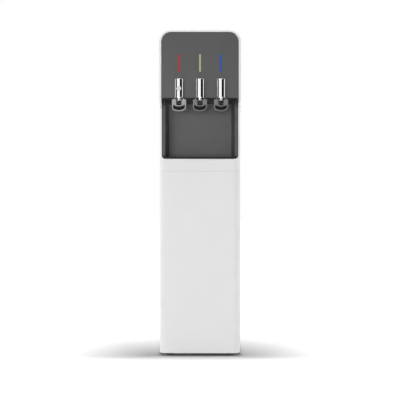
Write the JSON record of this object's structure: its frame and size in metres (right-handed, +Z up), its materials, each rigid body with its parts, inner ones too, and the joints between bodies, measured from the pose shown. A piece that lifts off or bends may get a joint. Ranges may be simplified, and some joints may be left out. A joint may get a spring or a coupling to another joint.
{
  "type": "water dispenser",
  "caption": "Slim free-standing plumbed-in water dispenser with hot, ambient and cold lever taps over an alcove with a lift-out drip tray.",
  "frame": {"origin": "centre of the bounding box at floor level, under the levelling feet", "axes": "+Z up, front with the taps toward -Y, +X to the right seen from the front"},
  "size_m": [0.26, 0.3894, 1.038],
  "materials": {
    "white_casing": "satin white moulding",
    "white_panel": "white powder coat",
    "dark_plastic": "fine-grained dark grey",
    "black_plastic": "satin black",
    "hot_tap_grey": "satin light grey",
    "tap_grey": "satin mid grey",
    "lever_chrome": "bright plated",
    "button_grey": "satin",
    "strip_red": "lit strip",
    "strip_yellow": "lit strip",
    "strip_blue": "lit strip",
    "rocker_green": "moulded",
    "board_green": "circuit board",
    "steel": "plain sheet and rod",
    "black_steel": "black enamel",
    "copper": "drawn copper",
    "foam": "expanded foam",
    "filter_white": "moulded",
    "hose": "silicone hose",
    "black_rubber": "moulded"
  },
  "bodies": {
    "cabinet": {"upper_casing": "white_casing", "base_front_panel": "white_panel", "base_left_panel": "white_panel", "base_right_panel": "white_panel", "base_rear_panel": "white_panel", "upper_rear_panel": "white_panel", "head_fascia": "dark_plastic", "alcove_liner": "dark_plastic", "drain_plugs": "dark_plastic", "tap_spouts": "black_plastic", "power_inlet": "black_plastic", "switch_housings": "black_plastic", "hot_tap_body": "hot_tap_grey", "ambient_tap_body": "tap_grey", "cold_tap_body": "tap_grey", "hot_strip": "strip_red", "ambient_strip": "strip_yellow", "cold_strip": "strip_blue", "indicator_board": "board_green", "base_tray": "steel", "deck_plate": "steel", "tank_stand": "steel", "cold_tank": "steel", "hot_tank": "steel", "case_screws": "steel", "pivot_pins": "steel", "compressor": "black_steel", "condenser": "black_steel", "evaporator_coil": "copper", "filter_drier": "copper", "cold_insulation": "foam", "hot_insulation": "foam", "cold_tank_lid": "foam", "filter_head": "filter_white", "filter_cartridge": "filter_white", "inlet_fitting": "filter_white", "hot_hose": "hose", "ambient_hose": "hose", "cold_hose": "hose", "feed_hose": "hose", "compressor_mounts": "black_rubber"},
    "drip_tray": {"drip_tray": "black_plastic"},
    "drip_grille": {"drip_grille": "dark_plastic"},
    "safety_button": {"safety_button": "button_grey"},
    "heater_switch": {"heater_switch": "strip_red"},
    "cooler_switch": {"cooler_switch": "rocker_green"},
    "hot_lever": {"hot_lever": "lever_chrome"},
    "hot_stem": {"hot_stem": "steel", "hot_seat": "hose"},
    "ambient_lever": {"ambient_lever": "lever_chrome"},
    "ambient_stem": {"ambient_stem": "steel", "ambient_seat": "hose"},
    "cold_lever": {"cold_lever": "lever_chrome"},
    "cold_stem": {"cold_stem": "steel", "cold_seat": "hose"},
    "foot_front_left": {"foot_front_left": "black_rubber"},
    "foot_front_right": {"foot_front_right": "black_rubber"},
    "foot_rear_left": {"foot_rear_left": "black_rubber"},
    "foot_rear_right": {"foot_rear_right": "black_rubber"}
  },
  "joints": [
    {"name": "tray_lift", "type": "slide", "parent": "cabinet", "child": "drip_tray", "axis": [0, 0, 1], "range_m": [0, 0.09]},
    {"name": "grille_lift", "type": "slide", "parent": "drip_tray", "child": "drip_grille", "axis": [0, 0, 1], "range_m": [0, 0.03]},
    {"name": "hot_lever_pull", "type": "hinge", "parent": "cabinet", "child": "hot_lever", "pos_m": [-0.066, -0.18125, 0.801], "axis": [1, 0, 0], "range_deg": [0, 25], "stiffness_Nm_per_rad": 0.6, "springref_deg": -11.46},
    {"name": "hot_stem_lift", "type": "slide", "parent": "cabinet", "child": "hot_stem", "axis": [0, 0, 1], "range_m": [0, 0.0062]},
    {"name": "ambient_lever_pull", "type": "hinge", "parent": "cabinet", "child": "ambient_lever", "pos_m": [0, -0.18125, 0.801], "axis": [1, 0, 0], "range_deg": [0, 25], "stiffness_Nm_per_rad": 0.6, "springref_deg": -11.46},
    {"name": "ambient_stem_lift", "type": "slide", "parent": "cabinet", "child": "ambient_stem", "axis": [0, 0, 1], "range_m": [0, 0.0062]},
    {"name": "cold_lever_pull", "type": "hinge", "parent": "cabinet", "child": "cold_lever", "pos_m": [0.066, -0.18125, 0.801], "axis": [1, 0, 0], "range_deg": [0, 25], "stiffness_Nm_per_rad": 0.6, "springref_deg": -11.46},
    {"name": "cold_stem_lift", "type": "slide", "parent": "cabinet", "child": "cold_stem", "axis": [0, 0, 1], "range_m": [0, 0.0062]},
    {"name": "safety_press", "type": "slide", "parent": "hot_lever", "child": "safety_button", "axis": [0, 1, 0], "range_m": [0, 0.003], "stiffness_N_per_m": 400, "springref_m": -0.001},
    {"name": "heater_rock", "type": "hinge", "parent": "cabinet", "child": "heater_switch", "pos_m": [-0.026, 0.18475, 1.012], "axis": [-1, 0, 0], "range_deg": [0, 16]},
    {"name": "cooler_rock", "type": "hinge", "parent": "cabinet", "child": "cooler_switch", "pos_m": [0.026, 0.18475, 1.012], "axis": [-1, 0, 0], "range_deg": [0, 16]},
    {"name": "foot_front_left_screw", "type": "slide", "parent": "cabinet", "child": "foot_front_left", "axis": [0, 0, -1], "range_m": [0, 0.01]},
    {"name": "foot_front_right_screw", "type": "slide", "parent": "cabinet", "child": "foot_front_right", "axis": [0, 0, -1], "range_m": [0, 0.01]},
    {"name": "foot_rear_left_screw", "type": "slide", "parent": "cabinet", "child": "foot_rear_left", "axis": [0, 0, -1], "range_m": [0, 0.01]},
    {"name": "foot_rear_right_screw", "type": "slide", "parent": "cabinet", "child": "foot_rear_right", "axis": [0, 0, -1], "range_m": [0, 0.01]}
  ],
  "couplings": [
    {"joint": "hot_stem_lift", "follows": "hot_lever_pull", "m_per_rad": 0.01356},
    {"joint": "ambient_stem_lift", "follows": "ambient_lever_pull", "m_per_rad": 0.01356},
    {"joint": "cold_stem_lift", "follows": "cold_lever_pull", "m_per_rad": 0.01356}
  ]
}
